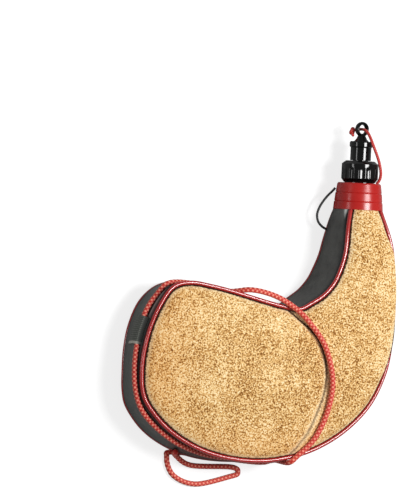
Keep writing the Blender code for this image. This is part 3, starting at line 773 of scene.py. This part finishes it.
# KEEPERS
# Two bands of grey webbing sewn across the gusset, with the carrying cord under them.
keeper_wall = 1 * MM
keeper_rise = 5.6 * MM
keeper_shape_shares = (        # place across the gusset, from the back seam, and height, of keeper_rise
    (0.08, 0.06), (0.16, 0.1), (0.42, 0.55), (0.66, 0.96), (0.78, 1), (0.88, 0.9), (0.96, 0.06))


def webbing_finish():
    """A fine flat weave, with a dark front edge and one pale bound edge."""
    made, tree, shader, where = plain_finish("grey_webbing", 0.85, Sheen_Weight=0.1)
    uv = put(tree, "TexCoord").outputs["UV"]
    warp, weft = (put(tree, "TexWave", {"Scale": scale, "Distortion": 0.6}, {"Vector": uv},
                      bands_direction=axis).outputs["Fac"] for axis, scale in (("X", 3.2), ("Y", 4.6)))
    weave = reckon(tree, warp, weft, "MULTIPLY")
    colour = ramp(tree, weave, [
        (0.0, (0.07, 0.075, 0.065)), (0.5, (0.14, 0.15, 0.13)), (1.0, (0.24, 0.25, 0.22))])
    split = put(tree, "SeparateXYZ", links={"Vector": uv})
    for axis, starts, ends, most, tone in (("Y", 0.89, 0.92, 0.9, (0.55, 0.52, 0.45)),
                                           ("X", 0.8, 0.9, 0.85, (0.015, 0.015, 0.014))):
        colour = tinted(tree, colour, tone, spread(tree, split.outputs[axis], starts, ends, 0, most))
    tree.links.new(colour, shader.inputs["Base Color"])
    raised(tree, shader, weave, 0.5, 0.0001)
    return made


grey_webbing = webbing_finish()
keeper_shape = curve_through(keeper_shape_shares, 6)
rim_end = 84                   # the CAD model's last station
for name, node, ends, reach in (("bulb_webbing", "bulb_keeper", (0.4435, 0.4702), 1),
                                ("neck_webbing", "neck_keeper", (0.857, 0.881), 0.5)):
    low, high = (station_of(rim_end * share) for share in ends)

    def arched(across, along):
        """A point of the band, from its back end to its front end and from one edge to the other."""
        share, rise = keeper_shape[round(across * (len(keeper_shape) - 1))]
        return gusset_point(round(mix(low, high, along)), share * reach, -rise * keeper_rise)

    band = laid_grid(name, len(keeper_shape) - 1, high - low, arched)
    thickened(band, keeper_wall, 1)
    band.data.materials.append(grey_webbing)
    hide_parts(node)
    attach(band, "bag")

# CORD'S PATCH
# A tab of the gusset's leatherette that holds the end of the carrying cord.
anchor_seat, anchor_rise, anchor_edge = 0.3 * MM, 5.2 * MM, 0.9 * MM
anchor_station, anchor_ends, anchor_heights = 50, (0.15, 0.75), (0.22, 0.42)
anchor_first = mouth_station + (anchor_station - mouth_station) * station_steps / 2


def patch_point(across, along):
    place = anchor_first + mix(*anchor_ends, along) * station_steps / 2
    k = int(place)
    height = mix(*anchor_heights, across)
    return mix(gusset_point(k, height, -anchor_seat), gusset_point(k + 1, height, -anchor_seat), place - k)


patch = laid_grid("cord_patch", 10, 12, patch_point)
thickened(patch, anchor_rise, 1)
alone(patch)
bevel = patch.modifiers.new("rounded", "BEVEL")
bevel.width, bevel.segments, bevel.limit_method, bevel.angle_limit = anchor_edge, 3, "ANGLE", math.radians(50)
bpy.ops.object.modifier_apply(modifier="rounded")
patch.data.materials.append(grey_leatherette)
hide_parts("cord_anchor")
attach(patch, "bag")

# NECK INSERT AND BAND
# The black tube in the neck with its threaded stem, and the steel band that clamps the leather onto it.
black_plastic = moulded("black_plastic", (0.002, 0.002, 0.002), (0.004, 0.004, 0.004), 0.07, 0.12, 1800,
                        0.000006, Specular_IOR_Level=0.4)
refinished("neck_insert", black_plastic)
refinished("neck_band", moulded("clamp_steel", (0.5, 0.5, 0.52), (0.62, 0.62, 0.62), 0.3, 0.5, 1200, 0.00003,
                                Metallic=1.0))

# COLLAR
# The glossy red sleeve moulded over the bound neck, in three bands with a groove between each two.
collar_height = 22.6 * MM
collar_foot_radius = 21.1 * MM
collar_top_radius = 18.5 * MM
collar_bore_radius = 17.4 * MM
collar_mouth_radius = 19.5 * MM
collar_lip_foot = 18 * MM
collar_recess_floor = 19.7 * MM
collar_recess_radius = 17 * MM
collar_edge = 1 * MM
collar_band_share = (0.63, 0.3)
groove_depth = 0.5 * MM
stem_radius = 12.4 * MM
stem_clearance = 0.5 * MM


def nozzle(height):
    """A place on the nozzle's axis, at a height above the collar's mouth."""
    return Vector((axis_x, mouth_y + height, axis_height))


def true_faces(piece):
    """Shades a turned piece so that its walls stay straight and its narrow bevels take the turns."""
    alone(piece)
    bpy.ops.object.shade_smooth_by_angle(angle=math.radians(40))
    weighted = piece.modifiers.new("true_faces", "WEIGHTED_NORMAL")
    weighted.keep_sharp = True
    bpy.ops.object.modifier_apply(modifier="true_faces")


def turned(name, profile, around, edge=0.25 * MM, closed=True):
    """A circle at the profile's first radius and height, extruded and resized from point to point."""
    bpy.ops.object.select_all(action="DESELECT")
    bpy.ops.mesh.primitive_circle_add(vertices=around, radius=profile[0][0], location=nozzle(profile[0][1]),
                                      rotation=(math.pi / 2, 0, 0))
    piece = bpy.context.object
    piece.name = piece.data.name = name
    bpy.ops.object.transform_apply(location=True, rotation=True, scale=True)
    bpy.ops.object.mode_set(mode="EDIT")
    path = profile[1:] + (profile[:1] if closed else [])
    before = profile[0]
    for after in path:
        bpy.ops.mesh.extrude_region_move(TRANSFORM_OT_translate={"value": (0, after[1] - before[1], 0)})
        size = after[0] / before[0]
        bpy.ops.transform.resize(value=(size, 1, size), center_override=nozzle(after[1]))
        before = after
    bpy.ops.mesh.select_all(action="SELECT")
    bpy.ops.mesh.remove_doubles(threshold=0.00001)
    bpy.ops.mesh.normals_make_consistent(inside=False)
    bpy.ops.object.mode_set(mode="OBJECT")
    if edge:
        bevel = piece.modifiers.new("edges", "BEVEL")
        bevel.width, bevel.segments, bevel.limit_method, bevel.angle_limit = edge, 3, "ANGLE", math.radians(25)
        bpy.ops.object.modifier_apply(modifier="edges")
    return piece


taper = (collar_top_radius - collar_foot_radius) / collar_height
profile = [(collar_top_radius - collar_edge, collar_height), (collar_top_radius, collar_height - collar_edge)]
for share in collar_band_share:
    height = collar_height * share
    radius = collar_foot_radius + taper * height
    profile += [(radius, height + groove_depth), (radius - groove_depth, height),
                (radius + groove_depth / 2, height - groove_depth)]
profile += [(collar_foot_radius, 0), (collar_mouth_radius, 0), (collar_bore_radius, clamp_foot),
            (collar_bore_radius, collar_lip_foot), (stem_radius + stem_clearance, collar_lip_foot),
            (stem_radius + stem_clearance, collar_recess_floor), (collar_recess_radius, collar_recess_floor),
            (collar_recess_radius, collar_height)]
red_plastic = moulded("red_plastic", (0.44, 0.012, 0.01), (0.5, 0.016, 0.012), 0.22, 0.32, 1500, 0.00003)
collar = turned("red_collar", profile, 96)
true_faces(collar)
collar.data.materials.append(red_plastic)
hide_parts("collar")
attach(collar, "bag")

# WASHER
# The flat black rubber ring on top of the stem.
rubber = moulded("black_rubber", (0.02, 0.02, 0.02), (0.035, 0.035, 0.035), 0.6, 0.8, 1500, 0.00005)
for node in ("ring_gasket", "stopper_seal"):
    refinished(node, rubber)

# FILLER RING
# The glossy black ring that screws onto the stem, with scooped flutes round its wall for the fingers.
ring_radius = 15.5 * MM
ring_top = 41.3 * MM
ring_cap_foot = 37.6 * MM
ring_shoulder = 2.7 * MM
ring_shoulder_in = 3.4 * MM
ring_chamfer = 3.2 * MM
ring_chamfer_in = 2.4 * MM
ring_foot = collar_height + 0.4 * MM
ring_bore = stem_radius + 0.4 * MM
spout_radius = 6.5 * MM
spout_hole = spout_radius + 0.4 * MM
ring_edge = 0.3 * MM
flute_count = 20
flute_depth = 0.6 * MM
flute_band = 1.6 * MM         # how far in from the wall its points are moved
flute_top = ring_top - ring_shoulder - 3.2 * MM
flute_foot = ring_foot + ring_chamfer * 0.6
wall = [(ring_radius, mix(ring_top - ring_shoulder, ring_foot + ring_chamfer, k / 14)) for k in range(15)]
ring = turned("black_ring", [(ring_radius - ring_shoulder_in, ring_top)] + wall + [
    (ring_radius - ring_chamfer_in, ring_foot), (ring_bore, ring_foot), (ring_bore, ring_cap_foot),
    (spout_hole, ring_cap_foot), (spout_hole, ring_top)], 8 * flute_count, ring_edge)
for vertex in ring.data.vertices:
    side = Vector((vertex.co.x - axis_x, vertex.co.z - axis_height))
    height = vertex.co.y - mouth_y
    if side.length > ring_radius - flute_band and flute_foot < height < flute_top:
        phase = math.atan2(side.y, side.x) * flute_count / 2
        scoop = max(abs(math.cos(phase)) - 0.25, 0) / 0.75
        fade = smooth_step((flute_top - height) / (1.6 * MM)) * smooth_step((height - flute_foot) / (1.2 * MM))
        size = 1 - flute_depth * scoop ** 0.8 * fade / side.length
        vertex.co.x, vertex.co.z = axis_x + side.x * size, axis_height + side.y * size
true_faces(ring)
ring.data.materials.append(black_plastic)
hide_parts("filler_ring")
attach(ring, "ring")

# SPOUT
# The pouring tube that the ring holds down, with the small hole that makes the jet.
refinished("spout", black_plastic)

# STOPPER
# The screw cap of the spout, turned in one piece with a cone and an eyelet for the tether.
spout_top = 51 * MM
stopper_radius = 8.8 * MM
stopper_flange_radius = 9.75 * MM
stopper_flange_foot = 52.5 * MM
stopper_top = 57.8 * MM
stopper_foot = ring_top + 0.3 * MM
cone_radius = 6.3 * MM
cone_neck_radius = 3.2 * MM
cone_top = 62.6 * MM
cone_peak = cone_top + 1.7 * MM
soft_edge = 0.8 * MM
eyelet_height = 68 * MM
eyelet_radius = 6.4 * MM
eyelet_hole_radius = 3.7 * MM
eyelet_depth = 5 * MM
eyelet_turn = math.radians(10)
stopper_bore = spout_radius + 0.4 * MM
stopper_ceiling = spout_top + 2.8 * MM
pole_radius = 0.1 * MM        # where the turned shape starts and ends, beside its axis
stopper = turned("black_stopper", [
    (pole_radius, cone_peak), (cone_neck_radius / 2, cone_top + soft_edge),
    (cone_neck_radius, cone_top),
    (mix(cone_neck_radius, cone_radius, 0.45), mix(cone_top, stopper_top, 0.6)), (cone_radius, stopper_top),
    (stopper_flange_radius - soft_edge, stopper_top), (stopper_flange_radius, stopper_top - soft_edge),
    (stopper_flange_radius, stopper_flange_foot + soft_edge), (stopper_radius, stopper_flange_foot),
    (stopper_radius, stopper_foot), (stopper_bore, stopper_foot), (stopper_bore, stopper_ceiling),
    (pole_radius, stopper_ceiling)], 80)
bpy.ops.object.select_all(action="DESELECT")
bpy.ops.mesh.primitive_torus_add(major_segments=72, minor_segments=20,
                                 major_radius=(eyelet_radius + eyelet_hole_radius) / 2,
                                 minor_radius=(eyelet_radius - eyelet_hole_radius) / 2)
eyelet = bpy.context.object
bpy.ops.transform.resize(value=(1, 1, eyelet_depth / (eyelet_radius - eyelet_hole_radius)))
eyelet.rotation_euler = (0, eyelet_turn, 0)
eyelet.location = nozzle(eyelet_height)
bpy.ops.object.transform_apply(location=True, rotation=True, scale=True)
alone(stopper)
joined = stopper.modifiers.new("eyelet", "BOOLEAN")
joined.operation, joined.object = "UNION", eyelet
bpy.ops.object.modifier_apply(modifier="eyelet")
bpy.data.objects.remove(eyelet)
true_faces(stopper)
stopper.data.materials.append(black_plastic)
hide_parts("stopper")
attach(stopper, "stopper")

# CARRYING CORD
# Braided red cord, 1.05 m long. It starts at its knot below the neck, runs round the outer gusset and the bulb,
# under the keeper and over the front face, and comes out from below in one slack bight to its patch.
cord_diameter = 4.5 * MM
braid_waist_share, braid_rise_share = 0.86, 0.2
cord_shadow_gap = 0.4 * MM            # the gusset gets a painted shadow of the cord from this gap on
cord_shadow_reach = 1.3 * MM
carrying_route = [              # in millimetres, as are the tether's and the loop's
    (137.5, 105.6, 22.8), (139.1, 88.3, 23.1), (140.7, 48.8, 26.3), (135.1, 3, 27), (116, -29.4, 26.4),
    (65.2, -61.3, 25.9), (-0.1, -71.2, 26), (-50.2, -62.9, 34.6), (-83.8, -42.1, 35.4), (-97, -20.4, 35.8),
    (-98.8, 10.9, 34.3), (-91.5, 45.4, 32.4), (-79.3, 65, 32.5), (-69.5, 73.3, 32.9), (-46.4, 73.6, 30.4),
    (-16.9, 68.6, 34.3), (1, 70.9, 45.9), (21.1, 67.1, 49.3), (38.6, 58.8, 50.7), (51.9, 46.9, 54.9),
    (67.2, 26.4, 58.2), (75.8, -1.5, 58.4), (73.8, -27, 56.4), (64.4, -51.2, 53.3), (50.5, -67.3, 48.8),
    (45.3, -72.7, 44.2), (44.5, -71.4, 22.6), (45.1, -72.1, 12.2), (32.4, -74, 3.2), (-39.3, -68.8, 2.5),
    (-48.4, -73.8, 2.4), (-41.3, -88.5, 2.4), (-19.9, -94.9, 2.4), (11.9, -87.4, 2.4), (19.3, -84.1, 2.4),
    (13.3, -79.3, 2.4), (-25.1, -79.3, 2.8), (-42.3, -71.6, 7.1), (-47.1, -68.4, 15.6),
]


def cord_line(route, step):
    """Evenly spaced points, in metres, on a smooth curve through a route in millimetres."""
    fine = [Vector(point) * MM for point in curve_through(route, 24)]
    line, carried = [fine[0]], 0.0
    for a, b in zip(fine, fine[1:]):
        length = (b - a).length
        while carried + length >= step:
            share = (step - carried) / length
            a = mix(a, b, share)
            length = (b - a).length
            carried = 0.0
            line.append(a)
        carried += length
    line[-1] = fine[-1]
    return line


def line_length(line):
    return sum((b - a).length for a, b in zip(line, line[1:]))


def braided(name, line, diameter, pairs=3, stride=0.8, closed=False, around=20):
    """A braid of two sets of strands that pass over and under each other."""
    step = stride * diameter

    def relief(turn, run):
        right = turn * pairs / math.tau + run / step
        left = turn * pairs / math.tau - run / step
        i, j = round(right), round(left)
        over = 0.5 * math.cos(math.pi * (left + i))
        under = -0.5 * math.cos(math.pi * (right + j))
        return max(1.0 - 2.2 * (right - i) ** 2 + over, 1.0 - 2.2 * (left - j) ** 2 + under) / 1.5

    if closed:
        whole = line_length(line + line[:1])
        step = whole / max(2 * round(whole / step / 2), 2)

    def radius(run, high):
        return diameter / 2 * (braid_waist_share + braid_rise_share * max(high, 0))

    return tube(name, line, radius, around, relief, closed)


def braid_finish(name, deep, body, lit):
    """Dyed fibre, with painted shade between the strands and painted light on their tops."""
    made, tree, shader, where = plain_finish(name, 0.55, Sheen_Weight=0.15)
    relief = put(tree, "Attribute", attribute_name="relief").outputs["Fac"]
    fibre = spread(tree, speckle(tree, where, 2600), 0, 1, -0.12, 0.12)
    shade = reckon(tree, relief, fibre)
    tree.links.new(ramp(tree, shade, [(0.3, deep), (0.56, body), (0.74, body), (0.97, lit)]),
                   shader.inputs["Base Color"])
    raised(tree, shader, fibre, 0.6, 0.0002)
    return made


red_braid = braid_finish("red_braid", (0.1, 0.002, 0.002), (0.62, 0.024, 0.014), (1.0, 0.36, 0.24))
line = cord_line(carrying_route, 0.42 * MM)
carrying_cord = braided("carrying_braid", line, cord_diameter)
carrying_cord.data.materials.append(red_braid)
near_cord = KDTree(len(line))
for k, point in enumerate(line):
    near_cord.insert(point, k)
near_cord.balance()
# Painted shadow of the cord on the gusset, added to its shade mark.
for vertex, value in zip(gusset.data.vertices, gusset.data.attributes["shade"].data):
    gap = max(near_cord.find(vertex.co)[2] - cord_diameter / 2 - cord_shadow_gap, 0)
    value.value = max(value.value, 0.95 * math.exp(-(gap / cord_shadow_reach) ** 2))
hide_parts("carrying_cord")
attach(carrying_cord, "bag")


def overhand(place, points, x, y, z):
    """A knot's closed line round its place, where x, y and z give a point's offset for the turn."""
    turns = [math.tau * k / points for k in range(points)]
    return [Vector(place) * MM + Vector((x(t), y(t), z(t))) * MM for t in turns]


knot_line = overhand((139.9, 111, 20.2), 150, lambda t: 1.1 * (math.sin(t) + 2 * math.sin(2 * t)),
                     lambda t: -1.21 * math.sin(3 * t), lambda t: 1.1 * (math.cos(t) - 2 * math.cos(2 * t)))
carrying_knot = braided("carrying_cord_knot", knot_line, 0.8 * cord_diameter, closed=True)
carrying_knot.data.materials.append(red_braid)
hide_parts("carrying_knot")
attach(carrying_knot, "bag")
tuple(line[0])

# TETHER
# The thin red cord that keeps the stopper with the bag: looped round the stem in the collar's recess and
# through the stopper's eyelet.
tether_diameter = 2.5 * MM
loop_gap = 0.3 * MM           # between the loop and the stem, and the recess's floor
tether_upper_route = [
    (104.6, 209.8, 20.5), (106.1, 210.5, 21.4), (107.4, 210.9, 23.2), (108.1, 211, 25.8), (108.6, 210.8, 28.4),
    (109.4, 209.8, 31), (110.3, 207.6, 33.6), (111.2, 204.2, 36), (112.6, 199.6, 37.8), (114.6, 194.4, 38.8),
    (117.2, 188.7, 39.1), (119.2, 183.9, 39),
]
tether_lower_route = [
    (119.3, 183.5, 39), (120.6, 179, 39), (121.6, 174.5, 38.5), (121.8, 170.4, 37.4), (121, 167.6, 36.3),
    (119.8, 165.5, 35.3),
]
red_tether = braid_finish("red_tether", (0.22, 0.005, 0.005), (0.48, 0.014, 0.012), (0.75, 0.1, 0.08))
tether_step = 0.35 * MM
upper_line = cord_line(tether_upper_route, tether_step)
tether_upper = braided("tether_braid", upper_line, tether_diameter, around=16)
lower_line = cord_line([tether_upper_route[-1]] + tether_lower_route[1:], tether_step)
tether_lower = braided("tether_braid_foot", lower_line, tether_diameter, around=16)

loop = overhand((101.5, 208.5, 21.2), 110, lambda t: 0.55 * (math.cos(t) - 2 * math.cos(2 * t)),
                lambda t: 1.1 * (math.sin(t) + 2 * math.sin(2 * t)), lambda t: -0.9 * math.sin(3 * t))
tether_knot = braided("tether_end_knot", loop, 0.9 * tether_diameter, closed=True, around=16)

loop_radius = stem_radius + loop_gap + tether_diameter / 2
loop_height = collar_recess_floor + loop_gap + tether_diameter / 2
turns = [math.tau * k / 200 for k in range(200)]
loop = [nozzle(loop_height) + loop_radius * Vector((math.cos(turn), 0, math.sin(turn))) for turn in turns]
tether_loop = braided("tether_stem_loop", loop, tether_diameter, closed=True, around=16)

for piece, node in ((tether_upper, "tether_upper"), (tether_lower, "tether_lower"),
                    (tether_knot, "tether_knot"), (tether_loop, "tether_collar_loop")):
    piece.data.materials.append(red_tether)
    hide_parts(node)
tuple(upper_line[-1])
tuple(upper_line[0])
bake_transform(tether_upper)
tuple(lower_line[-1])
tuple(lower_line[0])
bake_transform(tether_lower)
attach(tether_knot, "stopper")
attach(tether_loop, "bag")
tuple(upper_line[-1])

# HANGING LOOP
# A loop of thin black cord beside the collar, tucked under it above and sewn to the gusset's back seam below.
hang_loop_diameter = 2 * MM
hang_loop_route = [
    (90.3, 160.5, 16.9), (88.3, 157.6, 15.7), (84.9, 153.9, 14.8), (81.6, 149.5, 14), (78.3, 143.7, 13.2),
    (76.5, 137.4, 12.8), (77.8, 131.5, 12.7), (81.6, 127.3, 13.1), (86.5, 124.6, 14.2),
]
black_braid = braid_finish("black_braid", (0.004, 0.004, 0.004), (0.012, 0.012, 0.012), (0.03, 0.03, 0.03))
loop_line = cord_line(hang_loop_route, 0.3 * MM)
hang_loop = braided("hanging_braid", loop_line, hang_loop_diameter, around=14)
hang_loop.data.materials.append(black_braid)
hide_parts("hang_loop")
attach(hang_loop, "bag")
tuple(loop_line[0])

# FLOOR
# A plain white floor. The camera sees most of it as pure white, with the bag's soft shadow on it.
bpy.ops.object.select_all(action="DESELECT")
bpy.ops.mesh.primitive_plane_add(size=6, location=(0, 0, -0.0002))
floor = bpy.context.object
floor.name = "floor"
white, tree, shader, where = plain_finish("white_floor", 0.9, Specular_IOR_Level=0.1)
shader.inputs["Base Color"].default_value = (0.34, 0.34, 0.34, 1)
shader.inputs["Emission Color"].default_value = (1, 1, 1, 1)
seen = put(tree, "LightPath").outputs["Is Camera Ray"]
glow = put(tree, "Math", {1: 0.78}, {0: seen}, operation="MULTIPLY").outputs[0]
tree.links.new(glow, shader.inputs["Emission Strength"])
floor.data.materials.append(white)
floor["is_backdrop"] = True

# LIGHT
# A long soft box almost overhead, a little to the right, a weaker one low on the left, and a dim room that
# the camera sees as white.
world = bpy.context.scene.world or bpy.data.worlds.new("world")
bpy.context.scene.world = world
world.use_nodes = True
world.node_tree.nodes["Background"].inputs["Color"].default_value = (1, 1, 1, 1)
room = 0.22
seen = put(world.node_tree, "LightPath").outputs["Is Camera Ray"]
brightness = put(world.node_tree, "Math", {1: 1 - room, 2: room}, {0: seen},
                 operation="MULTIPLY_ADD").outputs[0]
world.node_tree.links.new(brightness, world.node_tree.nodes["Background"].inputs["Strength"])


def soft_box(name, lean, ahead, reach, wide, long, power):
    """A rectangular lamp along the neck, at an angle from upright, aimed at the bag."""
    light = bpy.data.lights.new(name, "AREA")
    light.shape = "RECTANGLE"
    light.size, light.size_y = wide, long
    light.energy = power
    holder = bpy.data.objects.new(name, light)
    aim = Vector((0.03, 0.08, 0.03))
    holder.location = aim + Vector((reach * math.sin(lean), ahead, reach * math.cos(lean)))
    holder.rotation_euler = (aim - holder.location).to_track_quat("-Z", "Y").to_euler()
    bpy.context.scene.collection.objects.link(holder)


soft_box("overhead_box", math.radians(19), 0.2, 1.5, 0.4, 0.6, 22)
soft_box("side_box", math.radians(-73), 0.1, 1.5, 0.45, 0.3, 2.6)

# CAMERA
# A long lens above the bag and 27 degrees to its left, as in the photograph.
view_angle = math.radians(27)
lean = math.radians(3)
distance = 12
back = Vector((-math.sin(view_angle), 0, math.cos(view_angle)))
right = Vector((math.cos(view_angle), 0, math.sin(view_angle)))
up = Vector((0, 1, 0))
frame_right = right * math.cos(lean) + up * math.sin(lean)
frame_up = up * math.cos(lean) - right * math.sin(lean)
camera_data = bpy.data.cameras.new("camera")
camera_data.lens = 36 * distance / 0.42
camera = bpy.data.objects.new("camera", camera_data)
camera.matrix_world = Matrix.Translation(Vector((-0.0341, 0.1023, 0.026)) + back * distance) @ Matrix(
    (frame_right, frame_up, back)).transposed().to_4x4()
bpy.context.scene.collection.objects.link(camera)
bpy.context.scene.camera = camera
bpy.context.scene.view_settings.view_transform = "Standard"

low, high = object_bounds()
